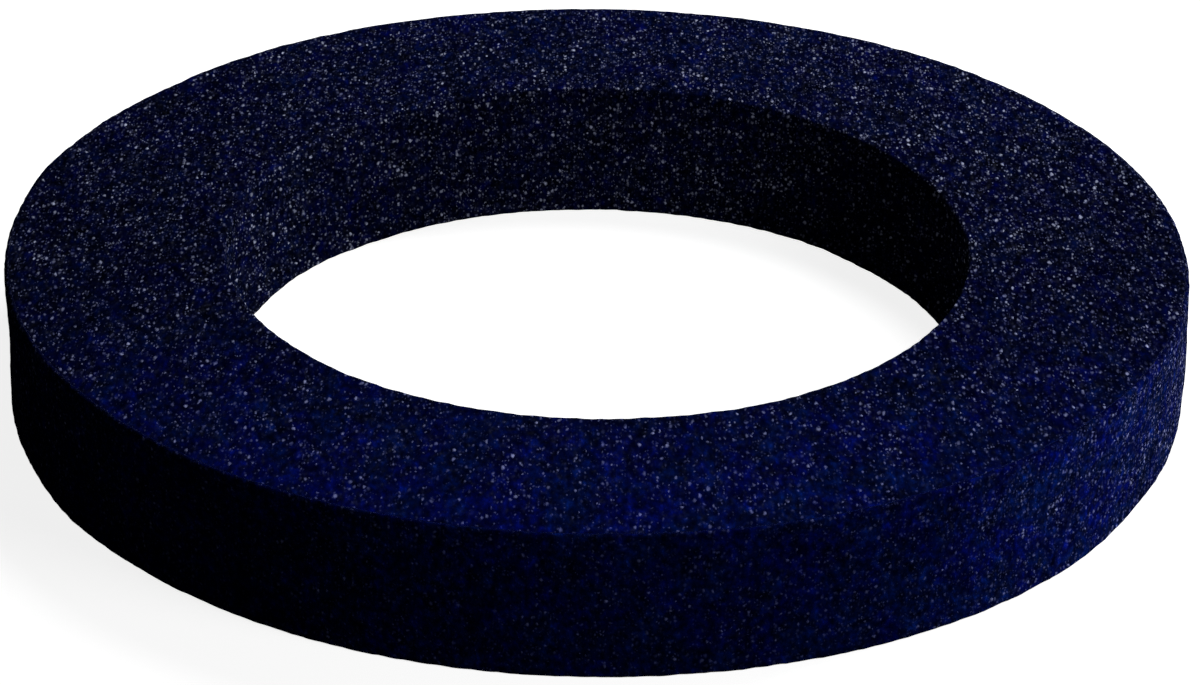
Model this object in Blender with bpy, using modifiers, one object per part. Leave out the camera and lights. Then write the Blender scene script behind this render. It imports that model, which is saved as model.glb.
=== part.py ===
"""Sponge washer that seals the joint between a toilet pan and its cistern.

One ring, cut by a press knife from a sheet of closed-cell sponge. It lies flat on its lower face, round the Z axis.
"""

import math

import bmesh
import bpy

# Driving dimensions, in metres
OUTER_DIAMETER = 0.100
BORE_DIAMETER = 0.063  # passes over the flush valve's threaded outlet, which is 59.6 mm across
THICKNESS = 0.0125
EDGE_RADIUS = 0.0003  # soft sponge keeps no sharp edge behind the knife
WALL_DRAW = 0.00012  # the squeezed sheet springs back, so each cut wall is a little hollow

# How finely the curves are divided
TURN_STEPS = 120
EDGE_STEPS = 3
WALL_STEPS = 6

# The seam of the turn closes within this distance, in metres.
SEAM_MERGE = 0.00001

OBJECT_NAME = "toilet_gasket"
RING_NAME = "sponge_ring"

# Linear colour of the dark navy sponge
SPONGE_COLOUR = (0.012, 0.015, 0.038, 1.0)
SPONGE_ROUGHNESS = 0.85


def clear_scene():
    for obj in list(bpy.data.objects):
        bpy.data.objects.remove(obj)
    for collection in list(bpy.data.collections):
        bpy.data.collections.remove(collection)


def sponge_material():
    material = bpy.data.materials.new("cut_sponge")
    material.use_nodes = True
    shader = material.node_tree.nodes["Principled BSDF"]
    shader.inputs["Base Color"].default_value = SPONGE_COLOUR
    shader.inputs["Roughness"].default_value = SPONGE_ROUGHNESS
    shader.inputs["Metallic"].default_value = 0.0
    material.diffuse_color = SPONGE_COLOUR
    material.roughness = SPONGE_ROUGHNESS
    return material


def rounded_corner(radius_at_wall, into_material, height_of_face, towards_middle, first_degrees):
    """Points of a quarter circle between a cut wall and a flat face, turning clockwise from first_degrees."""
    centre_x = radius_at_wall + into_material * EDGE_RADIUS
    centre_z = height_of_face + towards_middle * EDGE_RADIUS
    points = []
    for step in range(EDGE_STEPS + 1):
        angle = math.radians(first_degrees - 90 * step / EDGE_STEPS)
        points.append((centre_x + EDGE_RADIUS * math.cos(angle), centre_z + EDGE_RADIUS * math.sin(angle)))
    return points


def cut_wall(radius_at_wall, into_material, from_height, to_height):
    """Points of a wall between its two corners, hollowed by WALL_DRAW at half its height."""
    points = []
    for step in range(1, WALL_STEPS):
        along = step / WALL_STEPS
        draw = WALL_DRAW * math.sin(math.pi * along)
        height = from_height + (to_height - from_height) * along
        points.append((radius_at_wall + into_material * draw, height))
    return points


def ring_section():
    """The ring's section at +X, as (x, z): down the outer wall, in along the lower face, and up the bore."""
    outer = OUTER_DIAMETER / 2
    bore = BORE_DIAMETER / 2
    low = EDGE_RADIUS
    high = THICKNESS - EDGE_RADIUS
    return (
        rounded_corner(outer, -1, THICKNESS, -1, 90)
        + cut_wall(outer, -1, high, low)
        + rounded_corner(outer, -1, 0.0, 1, 0)
        + rounded_corner(bore, 1, 0.0, 1, -90)
        + cut_wall(bore, 1, low, high)
        + rounded_corner(bore, 1, THICKNESS, -1, 180)
    )


def sponge_ring(collection):
    """The ring: its section turned once round Z."""
    section = bmesh.new()
    corners = [section.verts.new((x, 0.0, z)) for x, z in ring_section()]
    for corner, following in zip(corners, corners[1:] + corners[:1]):
        section.edges.new((corner, following))
    mesh = bpy.data.meshes.new(RING_NAME)
    section.to_mesh(mesh)
    section.free()

    ring = bpy.data.objects.new(RING_NAME, mesh)
    collection.objects.link(ring)

    turn = ring.modifiers.new("Turn", "SCREW")
    turn.axis = "Z"
    turn.angle = math.tau
    turn.steps = TURN_STEPS
    turn.render_steps = TURN_STEPS
    turn.use_merge_vertices = True
    turn.merge_threshold = SEAM_MERGE
    turn.use_smooth_shade = True

    # The two flat faces keep their own normals, and only the small corners are shaded round.
    shading = ring.modifiers.new("Shading", "WEIGHTED_NORMAL")
    shading.mode = "FACE_AREA"

    ring.data.materials.append(sponge_material())
    return ring


def main():
    clear_scene()
    bpy.context.scene.unit_settings.system = "METRIC"
    bpy.context.scene.unit_settings.scale_length = 1.0
    parts = bpy.data.collections.new(OBJECT_NAME)
    bpy.context.scene.collection.children.link(parts)
    sponge_ring(parts)


if __name__ == "__main__":
    main()
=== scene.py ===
"""Sponge washer for a close-coupled toilet, finished as cellular rubber, and the pale stage it lies on."""

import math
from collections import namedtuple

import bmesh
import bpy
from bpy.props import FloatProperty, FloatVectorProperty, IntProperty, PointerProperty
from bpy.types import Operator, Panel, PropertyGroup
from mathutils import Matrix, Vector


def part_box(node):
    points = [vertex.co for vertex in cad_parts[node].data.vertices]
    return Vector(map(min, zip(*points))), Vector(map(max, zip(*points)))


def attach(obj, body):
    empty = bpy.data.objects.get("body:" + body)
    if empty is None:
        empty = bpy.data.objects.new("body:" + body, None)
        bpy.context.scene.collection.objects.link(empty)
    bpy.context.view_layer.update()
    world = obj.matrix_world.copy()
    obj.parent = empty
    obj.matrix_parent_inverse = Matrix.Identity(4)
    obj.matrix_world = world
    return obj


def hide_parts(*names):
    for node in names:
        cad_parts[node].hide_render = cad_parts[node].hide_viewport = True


bl_info = {
    "name": "Sponge Toilet Gasket",
    "version": (1, 0, 0),
    "blender": (4, 5, 0),
    "location": "3D View > Sidebar > Gasket",
    "description": "Cuts a flat sponge washer from its packed frame and lays it on a pale studio floor",
    "category": "Add Mesh",
}

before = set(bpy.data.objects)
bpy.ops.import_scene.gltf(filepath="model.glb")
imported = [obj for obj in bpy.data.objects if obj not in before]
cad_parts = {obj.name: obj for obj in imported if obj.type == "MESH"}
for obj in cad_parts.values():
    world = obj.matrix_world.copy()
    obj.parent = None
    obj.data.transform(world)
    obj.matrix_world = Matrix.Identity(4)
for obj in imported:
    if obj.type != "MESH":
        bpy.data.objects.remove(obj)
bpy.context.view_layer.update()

# What the frame gives, in metres
CAD_NODE = "sponge_ring"
BODY = "root"
LOW_CORNER, HIGH_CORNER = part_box(CAD_NODE)
THICKNESS = HIGH_CORNER.z - LOW_CORNER.z
OUTER_RADIUS = (HIGH_CORNER.x - LOW_CORNER.x) / 2
BORE_RADIUS = min(vertex.co.xy.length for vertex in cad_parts[CAD_NODE].data.vertices)
MIDDLE_RADIUS = (OUTER_RADIUS + BORE_RADIUS) / 2

MILLIMETRE = 0.001
SEAM_MERGE = 0.00001

# A gentle push that puts the soft ring out of true: where on a wall it lies, with its height as a share of
# the thickness, and its length outwards and its reach in millimetres.
Push = namedtuple("Push", "azimuth radius height out reach")

PUSHES = (
    Push(354, OUTER_RADIUS, 0.4, 0.38, 9),
    Push(332, OUTER_RADIUS, 0.0, -0.24, 10),
    Push(213, OUTER_RADIUS, 0.0, 0.20, 9),
    Push(165, OUTER_RADIUS, 1.0, 0.17, 9),
    Push(143, OUTER_RADIUS, 1.0, -0.15, 9),
    Push(142, BORE_RADIUS, 0.0, 0.24, 10),
    Push(38, BORE_RADIUS, 0.0, -0.20, 9),
)

# The surface's swell, open cells and fine grain: their sizes in metres
SWELL_SIZE = 14 * MILLIMETRE
PIT_SIZE = 1.3 * MILLIMETRE
GRAIN_SIZE = 0.8 * MILLIMETRE

# A soft studio lamp: where it stands round the ring in degrees, its distance, width and height in metres,
# and its power in watts.
Lamp = namedtuple("Lamp", "name azimuth elevation distance width height watts")

# The last one is a strip on the floor, lower than the ring is thick, so that it lights the outer wall only.
LAMPS = (
    Lamp("side_softbox", 30, 30, 0.50, 0.16, 0.16, 1.45),
    Lamp("back_softbox", 60, 60, 0.25, 0.10, 0.10, 0.29),
    Lamp("front_softbox", -40, 28, 0.25, 0.10, 0.10, 0.21),
    Lamp("low_strip", 20, 1, 0.30, 0.12, 0.010, 1.8),
)

# Painted glints: pale dots in the colour where cell edges would catch the light. Their spacing and radius
# in millimetres, how rare the bright ones are, and their share of the fleck level. The first are coarse and
# the second fine.
Fleck = namedtuple("Fleck", "spacing radius rarity share")

PAINTED_GLINTS = (
    Fleck(0.35, 0.18, 7.2, 1.45),
    Fleck(0.22, 0.115, 3.8, 0.80),
)
BRIGHTEST_PAINTED_GLINT = 0.6
PALE_FROM = 0.16  # a fleck as bright as this is quite pale
FLECK_ROUGHNESS = 0.55

# The noise that tears the outlines of the flecks: its size, and how far it moves them, in millimetres
CRUMPLE_SIZE = 0.3
CRUMPLE_AMOUNT = 0.2

# Blotches in the rubber and in its painted glints: their size in millimetres, how fine their detail is, and
# how far they stand out
Blotch = namedtuple("Blotch", "size detail spread")

MOTTLE = Blotch(0.6, 4.0, 5.6)
CLOUDS = Blotch(2.0, 2.0, 2.0)
# Patches where the painted glints are brighter
PAINTED_GLINT_PATCHES = Blotch(2.2, 2.0, 2.5)
# A faint painted haze in the glints' pale colour, and its level
PAINTED_GLINT_HAZE = Blotch(0.42, 1.0, 9.0)
PAINTED_GLINT_HAZE_LEVEL = 0.003
HUE_PATCH = 2.9

# A change along the sheet, from the first value to the last. Its two ends are shares of the ring's middle
# radius, with -1 at the front of the ring, 0 on its axis and 1 at the back.
Fade = namedtuple("Fade", "start end first last")

# Painted light in the ground's colour: its rise towards the front of the ring
FRONT_PAINTED_LIGHT = Fade(-1.15, -0.1, 0.9, 0.0)
# Painted glints fade towards the front of the ring: their share, from the front to the axis
PAINTED_GLINT_FADE = Fade(-1.4, 0.0, 0.4, 1.0)
# More painted light in the ground's colour: its level in the middle, its rise towards front and back, and
# its highest level
MIDDLE_PAINTED_LIGHT = 0.52
EDGE_PAINTED_LIGHT = 0.28
HIGHEST_PAINTED_LIGHT = 1.75

# How far behind its edge the look of a wall is whole, and how far behind it the look has ended, in metres
WALL_WHOLE = 0.25 * MILLIMETRE
WALL_ENDED = 0.4 * MILLIMETRE

# The fine relief of the sponge: its depth in metres, its strength, and the shares of cell edges and mottle
RELIEF_DEPTH = 0.1 * MILLIMETRE
RELIEF_STRENGTH = 0.5
FLECK_RELIEF = 0.5
MOTTLE_RELIEF = 0.3

# The stage: the floor's side in metres, the grey that the shadow falls on, the paper's own glow, and the
# width of the camera's sensor in millimetres
FLOOR_SIZE = 6
PAPER_GREY = 0.5
PAPER_GLOW = 0.85
SENSOR_WIDTH = 36


class GasketRingProps(PropertyGroup):
    """The shape of the cut ring."""

    edge_radius: FloatProperty(
        name="Edge radius",
        description="How far the soft edges round over behind the knife",
        default=0.0003,
        unit="LENGTH",
    )
    wall_hollow: FloatProperty(
        name="Wall hollow",
        description="How far the two cut walls draw in at half their height",
        default=0.00012,
        unit="LENGTH",
    )
    face_cuts: IntProperty(
        name="Face cuts",
        description="Cuts across each flat face, from the bore to the outer wall",
        default=43,
    )
    wall_cuts: IntProperty(
        name="Wall cuts",
        description="Cuts up each wall",
        default=28,
    )
    turn_steps: IntProperty(
        name="Turn steps",
        description="Steps of the section round the bore",
        default=630,
    )
    swell_depth: FloatProperty(
        name="Swell depth",
        description="Depth of the broad unevenness of the cut sponge",
        default=0.00015,
        unit="LENGTH",
    )
    pit_depth: FloatProperty(
        name="Pit depth",
        description="Depth of the larger open cells",
        default=0.00010,
        unit="LENGTH",
    )
    grain_depth: FloatProperty(
        name="Grain depth",
        description="Depth of the fine grain between the open cells",
        default=0.00006,
        unit="LENGTH",
    )


class GasketSpongeProps(PropertyGroup):
    """The look of the sponge."""

    indigo_colour: FloatVectorProperty(
        name="Indigo colour",
        description="The rubber's ground where the dye is deepest",
        subtype="COLOR",
        size=3,
        default=(0.0001, 0.0006, 0.0190),
    )
    teal_colour: FloatVectorProperty(
        name="Teal colour",
        description="The rubber's ground where it turns towards green",
        subtype="COLOR",
        size=3,
        default=(0.0001, 0.0014, 0.0150),
    )
    # Colours of the painted glints, pale dots in the colour where cell edges would catch the light
    pale_painted_glint: FloatVectorProperty(
        name="Pale fleck",
        description="Colour of the whitest cell edges that catch the light",
        subtype="COLOR",
        size=3,
        default=(0.68, 0.73, 1.0),
    )
    blue_painted_glint: FloatVectorProperty(
        name="Blue fleck",
        description="Colour of the faint cell edges that lie deeper in the dye",
        subtype="COLOR",
        size=3,
        default=(0.32, 0.37, 1.0),
    )
    # Painted glints turn to this colour towards the front of the ring, where the ground's painted light is
    # brightest
    front_painted_glint: FloatVectorProperty(
        name="Dyed fleck",
        description="Colour that the cell edges turn to where the sheet is dyed deepest",
        subtype="COLOR",
        size=3,
        default=(0.20, 0.25, 1.0),
    )
    # The brightness of the painted glints
    painted_glint_level: FloatProperty(
        name="Fleck level",
        description="How bright the cell edges are",
        subtype="FACTOR",
        default=0.33,
    )
    # The painted glints made brighter on the wall of the bore
    bore_glint_level: FloatProperty(
        name="Bore fleck level",
        description="Brightness of the cell edges on the wall of the bore against those on the faces",
        default=1.55,
    )
    # Painted light: the rubber on the wall of the bore made brighter in colour than on the faces
    bore_painted_light: FloatProperty(
        name="Bore ground level",
        description="Brightness of the rubber between the cell edges of the bore against that of the faces",
        default=1.35,
    )
    # The painted glints on the outer wall: their brightness, and how rare their bright ones are, against the
    # faces
    wall_glint_level: FloatProperty(
        name="Wall fleck level",
        description="Brightness of the cell edges on the outer wall against those on the faces",
        default=0.55,
    )
    wall_glint_rarity: FloatProperty(
        name="Wall fleck rarity",
        description="How rare the bright cell edges are on the outer wall against those on the faces",
        default=0.5,
    )
    sheet_grain: FloatProperty(
        name="Sheet grain",
        description="How much longer than wide the cells lie along the sheet that the ring was cut from",
        default=2.8,
    )
    wall_grain: FloatProperty(
        name="Wall grain",
        description="How much longer than wide the cells lie on the outer wall",
        default=1.7,
    )
    sheet_flatness: FloatProperty(
        name="Sheet flatness",
        description="How high the cells stand through the sheet's thickness, as a share of their width",
        default=1.1,
    )
    grain_lean: FloatProperty(
        name="Grain lean",
        description="How far the long cells lean down towards the back of the ring",
        default=math.radians(24),
        subtype="ANGLE",
    )
    roughness: FloatProperty(
        name="Roughness",
        description="Roughness of the rubber",
        subtype="FACTOR",
        default=0.85,
    )


class GasketStageProps(PropertyGroup):
    """The camera, the lamps and the floor."""

    camera_distance: FloatProperty(
        name="Camera distance",
        description="From the lens to the middle of the ring's upper face",
        default=0.36426,
        unit="LENGTH",
    )
    camera_elevation: FloatProperty(
        name="Camera elevation",
        description="How far the camera stands above the ring's upper face",
        default=math.radians(26.2483),
        subtype="ANGLE",
    )
    camera_tilt: FloatProperty(
        name="Camera tilt",
        description="How far the camera looks down past the middle of the ring",
        default=math.radians(1.3682),
        subtype="ANGLE",
    )
    camera_pan: FloatProperty(
        name="Camera pan",
        description="How far the camera looks to the right of the middle of the ring",
        default=math.radians(0.0549),
        subtype="ANGLE",
    )
    camera_roll: FloatProperty(
        name="Camera roll",
        description="How far the camera leans to its left",
        default=math.radians(0.7931),
        subtype="ANGLE",
    )
    lens: FloatProperty(
        name="Lens",
        description="Focal length on a 36 mm wide sensor, in millimetres",
        default=128.53,
    )
    lamp_level: FloatProperty(
        name="Lamp level",
        description="Share of every lamp's power",
        default=1.0,
    )
    fill: FloatProperty(
        name="Fill",
        description="Strength of the even light from all round",
        default=0.03,
    )
    floor_albedo: FloatProperty(
        name="Floor bounce",
        description="How much of the light that reaches the floor comes back to the ring",
        subtype="FACTOR",
        default=0.15,
    )


def deselect_all():
    if bpy.context.mode != "OBJECT":
        bpy.ops.object.mode_set(mode="OBJECT")
    bpy.ops.object.select_all(action="DESELECT")


def select_edges(obj, wanted):
    """In edit mode, selects the edges whose two end points pass the test, and nothing else."""
    bpy.ops.mesh.select_all(action="DESELECT")
    edit = bmesh.from_edit_mesh(obj.data)
    for edge in edit.edges:
        if wanted(edge.verts[0].co, edge.verts[1].co):
            edge.select_set(True)
    bmesh.update_edit_mesh(obj.data)


def select_nearest(obj, point):
    """In edit mode, selects the one vertex nearest to a point."""
    bpy.ops.mesh.select_all(action="DESELECT")
    edit = bmesh.from_edit_mesh(obj.data)
    nearest = min(edit.verts, key=lambda vertex: (vertex.co - point).length_squared)
    nearest.select_set(True)
    bmesh.update_edit_mesh(obj.data)


def pull(vector, reach):
    """In edit mode, moves what is selected, and drags what lies within reach along with it."""
    bpy.ops.transform.translate(
        value=vector,
        use_proportional_edit=True,
        proportional_edit_falloff="SMOOTH",
        proportional_size=reach,
    )


def lay_section(props):
    """The outline of the ring's section, standing at +X, as a loop of edges."""
    width = OUTER_RADIUS - BORE_RADIUS
    deselect_all()
    bpy.ops.mesh.primitive_plane_add(
        size=1,
        location=(MIDDLE_RADIUS, 0, THICKNESS / 2),
        rotation=(math.radians(90), 0, 0),
    )
    ring = bpy.context.active_object
    ring.name = "cut_sponge_ring"
    ring.scale = (width, THICKNESS, 1)
    bpy.ops.object.transform_apply(location=True, rotation=True, scale=True)

    bpy.ops.object.mode_set(mode="EDIT")
    bpy.ops.mesh.select_mode(type="VERT")
    bpy.ops.mesh.select_all(action="SELECT")
    bpy.ops.mesh.bevel(offset=props.edge_radius, segments=3, affect="VERTICES")
    bpy.ops.mesh.select_all(action="SELECT")
    bpy.ops.mesh.delete(type="ONLY_FACE")

    select_edges(ring, lambda a, b: abs(a.x - b.x) > width / 2)
    bpy.ops.mesh.subdivide(number_cuts=props.face_cuts)
    select_edges(ring, lambda a, b: abs(a.z - b.z) > THICKNESS / 2)
    bpy.ops.mesh.subdivide(number_cuts=props.wall_cuts)

    half = THICKNESS / 2 - props.edge_radius
    for radius, inwards in ((OUTER_RADIUS, -1), (BORE_RADIUS, 1)):
        select_nearest(ring, Vector((radius, 0, THICKNESS / 2)))
        pull((inwards * props.wall_hollow, 0, 0), half)
    return ring


def turn_section(ring, props):
    """Turns the section once round the bore and closes the seam."""
    bpy.ops.object.mode_set(mode="OBJECT")
    turn = ring.modifiers.new("turn", "SCREW")
    turn.axis = "Z"
    turn.angle = math.tau
    turn.steps = props.turn_steps
    turn.render_steps = props.turn_steps
    turn.use_merge_vertices = True
    turn.merge_threshold = SEAM_MERGE
    bpy.ops.object.modifier_apply(modifier=turn.name)

    bpy.ops.object.mode_set(mode="EDIT")
    bpy.ops.mesh.select_all(action="SELECT")
    bpy.ops.mesh.remove_doubles(threshold=SEAM_MERGE)
    bpy.ops.mesh.normals_make_consistent(inside=False)
    bpy.ops.object.mode_set(mode="OBJECT")
    bpy.ops.object.shade_smooth()


def push_out_of_true(ring):
    """Leaves the soft ring a little out of round."""
    bpy.ops.object.mode_set(mode="EDIT")
    for push in PUSHES:
        outwards = direction(push.azimuth, 0)
        select_nearest(ring, outwards * push.radius + Vector((0, 0, push.height * THICKNESS)))
        pull(outwards * push.out * MILLIMETRE, push.reach * MILLIMETRE)
    bpy.ops.object.mode_set(mode="OBJECT")


def roughen(ring, name, kind, size, depth, **settings):
    """Moves the surface in and out by half of depth, as a procedural texture is dark or light."""
    if not depth:
        return
    texture = bpy.data.textures.new(name, kind)
    texture.noise_scale = size
    for setting, value in settings.items():
        setattr(texture, setting, value)
    rough = ring.modifiers.new(name, "DISPLACE")
    rough.texture = texture
    rough.texture_coords = "LOCAL"
    rough.strength = depth
    rough.mid_level = 0.5
    bpy.ops.object.modifier_apply(modifier=rough.name)


def open_cells(ring, props):
    """Roughens the cut faces with a broad swell, open cells and a fine grain."""
    bpy.context.view_layer.objects.active = ring
    roughen(ring, "swell", "CLOUDS", SWELL_SIZE, props.swell_depth)
    roughen(ring, "open_cells", "VORONOI", PIT_SIZE, props.pit_depth)
    roughen(ring, "grain", "CLOUDS", GRAIN_SIZE, props.grain_depth, noise_depth=2)


def node(tree, kind, inputs=None, **settings):
    """Adds a shader node. A value in inputs is a constant, or an output socket to link."""
    added = tree.nodes.new(kind)
    for name, value in settings.items():
        setattr(added, name, value)
    for name, value in (inputs or {}).items():
        if isinstance(value, bpy.types.NodeSocket):
            tree.links.new(value, added.inputs[name])
        else:
            added.inputs[name].default_value = value
    return added


def blank_material(name):
    material = bpy.data.materials.new(name)
    material.use_nodes = True
    material.node_tree.nodes.clear()
    return material, material.node_tree


def maths(tree, operation, first, second=0.0, clamp=False):
    values = {0: first, 1: second}
    return node(tree, "ShaderNodeMath", values, operation=operation, use_clamp=clamp).outputs[0]


def product(tree, first, *others):
    """Any number of values multiplied."""
    for other in others:
        first = maths(tree, "MULTIPLY", first, other)
    return first


def vector_maths(tree, operation, inputs):
    return node(tree, "ShaderNodeVectorMath", inputs, operation=operation).outputs["Vector"]


def mapped(tree, value, low, high, to_low=0.0, to_high=1.0, smooth=True):
    """A value carried from one range to another, with soft ends or in a straight line."""
    return node(
        tree,
        "ShaderNodeMapRange",
        {"Value": value, "From Min": low, "From Max": high, "To Min": to_low, "To Max": to_high},
        interpolation_type="SMOOTHSTEP" if smooth else "LINEAR",
    ).outputs["Result"]


def mixed(tree, factor, first, second):
    mix = node(tree, "ShaderNodeMix", data_type="RGBA")
    for socket, value in ((mix.inputs[0], factor), (mix.inputs[6], first), (mix.inputs[7], second)):
        if isinstance(value, bpy.types.NodeSocket):
            tree.links.new(value, socket)
        else:
            socket.default_value = value
    return mix.outputs[2]


def opaque(colour):
    return (*colour, 1.0)


def scaled(tree, colour, by):
    return vector_maths(tree, "SCALE", {0: colour, "Scale": by})


def summed(tree, first, second):
    return vector_maths(tree, "ADD", {0: first, 1: second})


def noise(tree, place, size, detail):
    """Soft noise about 0.5, as a value and as a colour, with patches about size across in millimetres."""
    soft = node(tree, "ShaderNodeTexNoise", {"Vector": place, "Scale": 1 / size, "Detail": detail})
    return soft.outputs["Fac"], soft.outputs["Color"]


def blotched(tree, place, blotch):
    """A factor about 1, with more and brighter highs the larger the blotch's spread."""
    soft, _ = noise(tree, place, blotch.size, blotch.detail)
    return maths(tree, "EXPONENT", product(tree, maths(tree, "SUBTRACT", soft, 0.5), blotch.spread))


def flecks(tree, place, fleck, rareness):
    """One soft dot for each cell, the rarer the fewer bright, and a random number for its hue."""
    cells = node(tree, "ShaderNodeTexVoronoi", {"Vector": place, "Scale": 1 / fleck.spacing})
    chances = node(tree, "ShaderNodeSeparateColor", {"Color": cells.outputs["Color"]}).outputs
    radius = fleck.radius / fleck.spacing
    reach = mapped(tree, chances["Blue"], 0.0, 1.0, 0.8 * radius, 1.2 * radius, smooth=False)
    dot = mapped(tree, cells.outputs["Distance"], reach, 0.1 * radius)
    rarity = product(tree, fleck.rarity, rareness)
    return product(tree, dot, maths(tree, "POWER", chances["Red"], rarity)), chances["Green"]


def crumpled(tree, place):
    """The same place moved a little by noise, so that what is drawn there loses its round shape."""
    _, push = noise(tree, place, CRUMPLE_SIZE, 0.0)
    push = vector_maths(tree, "SUBTRACT", {0: push, 1: (0.5, 0.5, 0.5)})
    return summed(tree, place, scaled(tree, push, CRUMPLE_AMOUNT))


def sheet_ground(tree, props, place, across):
    """Navy ground: a fine mottle, patches of hue, and painted light, brightest at the front of the ring and
    least near its axis.
    """
    patches, _ = noise(tree, place, HUE_PATCH, 2.0)
    hue = mapped(tree, patches, 0.38, 0.62)
    base = mixed(tree, hue, opaque(props.indigo_colour), opaque(props.teal_colour))
    mottle = blotched(tree, place, MOTTLE)
    clouds = blotched(tree, place, CLOUDS)
    # The dye factor here is painted light: the ground brightest at the front of the ring, least near its
    # axis and a little brighter at the back
    front = mapped(tree, across, *FRONT_PAINTED_LIGHT)
    edges = maths(tree, "ADD", product(tree, across, across, EDGE_PAINTED_LIGHT), MIDDLE_PAINTED_LIGHT)
    dye = maths(tree, "MINIMUM", maths(tree, "ADD", front, edges), HIGHEST_PAINTED_LIGHT)
    return scaled(tree, base, product(tree, mottle, clouds, dye)), mottle


def radius_at(tree, place):
    """How far a place lies from the ring's axis, in metres."""
    flat = vector_maths(tree, "MULTIPLY", {0: place, 1: (1, 1, 0)})
    return node(tree, "ShaderNodeVectorMath", {0: flat}, operation="LENGTH").outputs["Value"]


def at_bore(tree, radius, level):
    """The level on the wall of the bore, and 1 elsewhere."""
    return mapped(tree, radius, BORE_RADIUS + WALL_WHOLE, BORE_RADIUS + WALL_ENDED, level, 1.0)


def at_wall(tree, radius, level):
    """The level on the outer wall, and 1 elsewhere."""
    return mapped(tree, radius, OUTER_RADIUS - WALL_ENDED, OUTER_RADIUS - WALL_WHOLE, 1.0, level)


def cell_place(tree, props, place, grain):
    """The same place in millimetres, stretched and leant so that cells drawn there lie along the sheet."""
    sizes = (MILLIMETRE, MILLIMETRE * grain, MILLIMETRE * props.sheet_flatness)
    return node(
        tree,
        "ShaderNodeMapping",
        {"Vector": place, "Rotation": (-props.grain_lean, 0, 0), "Scale": sizes},
        vector_type="TEXTURE",
    ).outputs["Vector"]


def sponge_material(props):
    """Dark navy cellular rubber: a mottled ground under painted light, and painted glints as pale flecks in
    its colour.
    """
    material, tree = blank_material("cut_sponge_finish")
    place = node(tree, "ShaderNodeTexCoord").outputs["Object"]
    along_sheet = node(tree, "ShaderNodeSeparateXYZ", {"Vector": place}).outputs["Y"]
    across = maths(tree, "DIVIDE", along_sheet, MIDDLE_RADIUS)
    radius = radius_at(tree, place)
    cells = mixed(
        tree,
        at_wall(tree, radius, 0.0),
        cell_place(tree, props, place, props.wall_grain),
        cell_place(tree, props, place, props.sheet_grain),
    )
    colour, mottle = sheet_ground(tree, props, cells, across)
    # Painted light: the wall of the bore made brighter in colour
    colour = scaled(tree, colour, at_bore(tree, radius, props.bore_painted_light))

    # Painted glints: fainter and rarer towards the front, and set apart on the bore and on the outer wall
    glint_fade = mapped(tree, across, *PAINTED_GLINT_FADE, smooth=False)
    level = product(
        tree,
        maths(tree, "SQRT", glint_fade),
        blotched(tree, cells, PAINTED_GLINT_PATCHES),
        props.painted_glint_level,
        at_bore(tree, radius, props.bore_glint_level),
        at_wall(tree, radius, props.wall_glint_level),
    )
    rareness = maths(tree, "DIVIDE", at_wall(tree, radius, props.wall_glint_rarity), glint_fade)
    torn = crumpled(tree, cells)
    edges = None
    # Each layer of painted glints adds its pale dots to the colour
    for fleck in PAINTED_GLINTS:
        dots, chance = flecks(tree, torn, fleck, rareness)
        amount = maths(tree, "MINIMUM", product(tree, dots, level, fleck.share), BRIGHTEST_PAINTED_GLINT)
        paleness = product(tree, amount, maths(tree, "ADD", chance, 0.5))
        pale = mapped(tree, paleness, 0.0, PALE_FROM, smooth=False)
        shade = mixed(tree, pale, opaque(props.blue_painted_glint), opaque(props.pale_painted_glint))
        shade = mixed(tree, glint_fade, opaque(props.front_painted_glint), shade)
        colour = summed(tree, colour, scaled(tree, shade, amount))
        edges = maths(tree, "ADD", edges, dots) if edges else dots
    # A faint painted haze in the glints' pale colour
    glint_haze = product(tree, blotched(tree, cells, PAINTED_GLINT_HAZE), level, PAINTED_GLINT_HAZE_LEVEL)
    colour = summed(tree, colour, scaled(tree, props.pale_painted_glint, glint_haze))

    height = maths(tree, "ADD", product(tree, edges, FLECK_RELIEF), product(tree, mottle, MOTTLE_RELIEF))
    relief = node(
        tree,
        "ShaderNodeBump",
        {"Height": height, "Strength": RELIEF_STRENGTH, "Distance": RELIEF_DEPTH},
    ).outputs["Normal"]
    shader = node(
        tree,
        "ShaderNodeBsdfPrincipled",
        {
            "Base Color": colour,
            "Roughness": mapped(tree, edges, 0.0, 0.5, props.roughness, FLECK_ROUGHNESS),
            "Normal": relief,
            "Metallic": 0.0,
            "Specular IOR Level": 0.0,
            "Sheen Weight": 0.004,
            "Sheen Roughness": 0.3,
            "Sheen Tint": (0.35, 0.75, 1.0, 1.0),
        },
    )
    node(tree, "ShaderNodeOutputMaterial", {"Surface": shader.outputs["BSDF"]})
    return material


class GASKET_OT_cut_ring(Operator):
    """Cut the sponge ring, open its cells and give it the finish of dark cellular rubber"""

    bl_idname = "gasket.cut_ring"
    bl_label = "Cut Sponge Ring"

    def execute(self, context):
        props = context.scene.gasket_ring
        ring = lay_section(props)
        turn_section(ring, props)
        push_out_of_true(ring)
        open_cells(ring, props)
        ring.data.materials.append(sponge_material(context.scene.gasket_sponge))
        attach(ring, BODY)
        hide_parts(CAD_NODE)
        return {"FINISHED"}


def seen_directly(tree):
    """1 for rays that show the backdrop, to the camera or in a gloss, and 0 for rays that carry light."""
    path = node(tree, "ShaderNodeLightPath").outputs
    return maths(
        tree,
        "ADD",
        maths(tree, "ADD", path["Is Camera Ray"], path["Is Glossy Ray"]),
        path["Is Transmission Ray"],
        clamp=True,
    )


def grey(level):
    return opaque((level, level, level))


def shown_or_lit(tree, lit, shown):
    """One shader for the rays that show the backdrop itself, and another for the rays that carry light."""
    return node(tree, "ShaderNodeMixShader", {0: seen_directly(tree), 1: lit, 2: shown}).outputs["Shader"]


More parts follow.
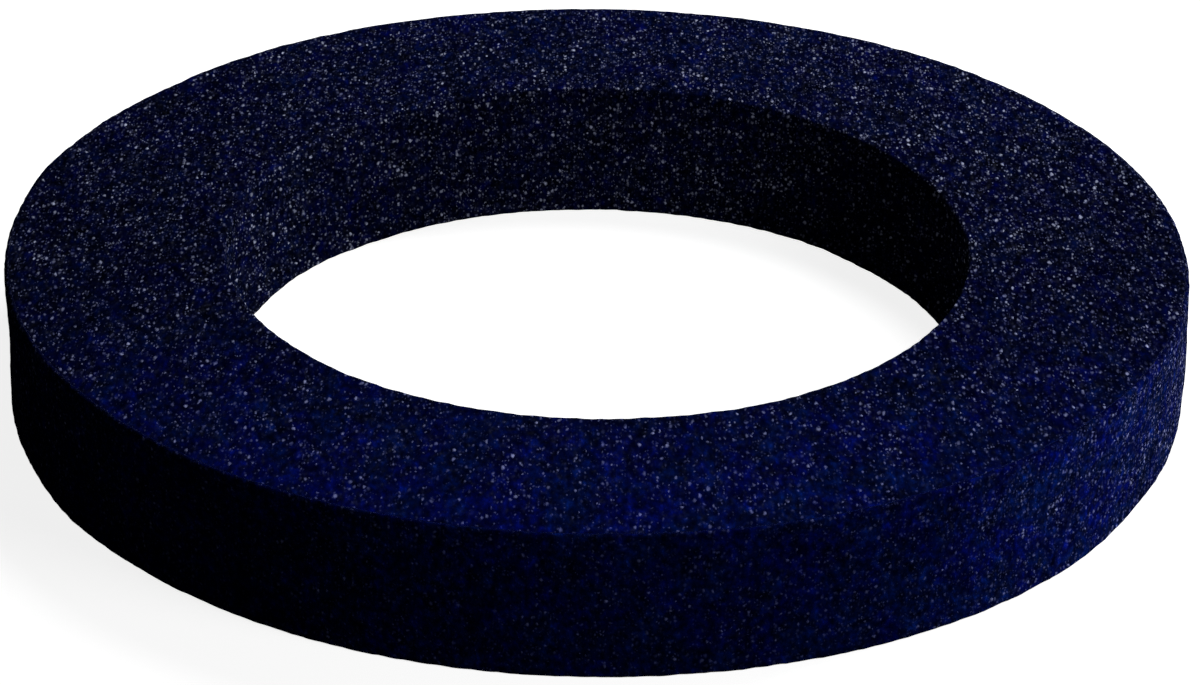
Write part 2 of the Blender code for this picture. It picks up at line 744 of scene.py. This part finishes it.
def floor_material(props):
    """White paper to the eye, with a soft shadow, that throws little light back at the ring."""
    material, tree = blank_material("white_paper")
    bounce = node(tree, "ShaderNodeBsdfDiffuse", {"Color": grey(props.floor_albedo)}).outputs["BSDF"]
    shaded = node(tree, "ShaderNodeBsdfDiffuse", {"Color": grey(PAPER_GREY)}).outputs["BSDF"]
    glow = node(tree, "ShaderNodeEmission", {"Color": grey(1.0), "Strength": PAPER_GLOW}).outputs["Emission"]
    paper = node(tree, "ShaderNodeAddShader", {0: shaded, 1: glow}).outputs["Shader"]
    node(tree, "ShaderNodeOutputMaterial", {"Surface": shown_or_lit(tree, bounce, paper)})
    return material


def lay_floor(props):
    deselect_all()
    bpy.ops.mesh.primitive_plane_add(size=FLOOR_SIZE, location=(0, 0, LOW_CORNER.z))
    floor = bpy.context.active_object
    floor.name = "studio_floor"
    floor.data.materials.append(floor_material(props))


def set_world(props):
    world = bpy.data.worlds.new("studio_air")
    world.use_nodes = True
    tree = world.node_tree
    tree.nodes.clear()
    fill = node(tree, "ShaderNodeBackground", {"Strength": props.fill}).outputs["Background"]
    white = node(tree, "ShaderNodeBackground", {"Color": grey(1.0), "Strength": 1.0}).outputs["Background"]
    node(tree, "ShaderNodeOutputWorld", {"Surface": shown_or_lit(tree, fill, white)})
    bpy.context.scene.world = world


def direction(azimuth, elevation):
    """Unit vector at degrees round from +X and above the floor."""
    around = math.radians(azimuth)
    above = math.radians(elevation)
    level = math.cos(above)
    return Vector((level * math.cos(around), level * math.sin(around), math.sin(above)))


def hang_lamp(lamp, level):
    towards = direction(lamp.azimuth, lamp.elevation)
    bpy.ops.object.light_add(
        type="AREA",
        location=towards * lamp.distance,
        rotation=towards.to_track_quat("Z", "Y").to_euler(),
    )
    light = bpy.context.active_object
    light.name = lamp.name
    light.data.shape = "ELLIPSE"
    light.data.size = lamp.width
    light.data.size_y = lamp.height
    light.data.energy = lamp.watts * level
    light.visible_camera = False


def stand_camera(props):
    """The camera in front of the ring, looking down on it and a little past its middle."""
    bpy.ops.object.camera_add()
    camera = bpy.context.active_object
    camera.name = "front_camera"
    camera.data.sensor_width = SENSOR_WIDTH
    camera.data.lens = props.lens
    camera.data.clip_start = 0.01
    camera.data.clip_end = 20
    up = math.sin(props.camera_elevation)
    back = math.cos(props.camera_elevation)
    place = Vector((0, -back, up)) * props.camera_distance + Vector((0, 0, HIGH_CORNER.z))
    look = (
        Matrix.Rotation(math.radians(90) - props.camera_elevation - props.camera_tilt, 4, "X")
        @ Matrix.Rotation(-props.camera_pan, 4, "Y")
        @ Matrix.Rotation(props.camera_roll, 4, "Z")
    )
    camera.matrix_world = Matrix.Translation(place) @ look
    bpy.context.scene.camera = camera


class GASKET_OT_set_stage(Operator):
    """Lay the pale floor, hang the soft lamps and stand the camera"""

    bl_idname = "gasket.set_stage"
    bl_label = "Set Stage"

    def execute(self, context):
        props = context.scene.gasket_stage
        lay_floor(props)
        set_world(props)
        for lamp in LAMPS:
            hang_lamp(lamp, props.lamp_level)
        stand_camera(props)
        context.scene.view_settings.view_transform = "Standard"
        return {"FINISHED"}


class GASKET_PT_sidebar(Panel):
    """Shows the settings of the ring, its look and the stage, with buttons to cut the ring and set the stage
    """

    bl_idname = "GASKET_PT_sidebar"
    bl_label = "Sponge Gasket"
    bl_space_type = "VIEW_3D"
    bl_region_type = "UI"
    bl_category = "Gasket"

    def draw(self, context):
        layout = self.layout
        for props, operator in (
            (context.scene.gasket_ring, GASKET_OT_cut_ring),
            (context.scene.gasket_sponge, None),
            (context.scene.gasket_stage, GASKET_OT_set_stage),
        ):
            column = layout.box().column()
            for name in props.__annotations__:
                column.prop(props, name)
            if operator:
                column.operator(operator.bl_idname)


CLASSES = (
    GasketRingProps,
    GasketSpongeProps,
    GasketStageProps,
    GASKET_OT_cut_ring,
    GASKET_OT_set_stage,
    GASKET_PT_sidebar,
)


def register():
    for cls in CLASSES:
        bpy.utils.register_class(cls)
    bpy.types.Scene.gasket_ring = PointerProperty(type=GasketRingProps)
    bpy.types.Scene.gasket_sponge = PointerProperty(type=GasketSpongeProps)
    bpy.types.Scene.gasket_stage = PointerProperty(type=GasketStageProps)


def unregister():
    del bpy.types.Scene.gasket_stage
    del bpy.types.Scene.gasket_sponge
    del bpy.types.Scene.gasket_ring
    for cls in reversed(CLASSES):
        bpy.utils.unregister_class(cls)


def main():
    register()
    bpy.ops.gasket.cut_ring()
    bpy.ops.gasket.set_stage()


if __name__ == "__main__":
    main()
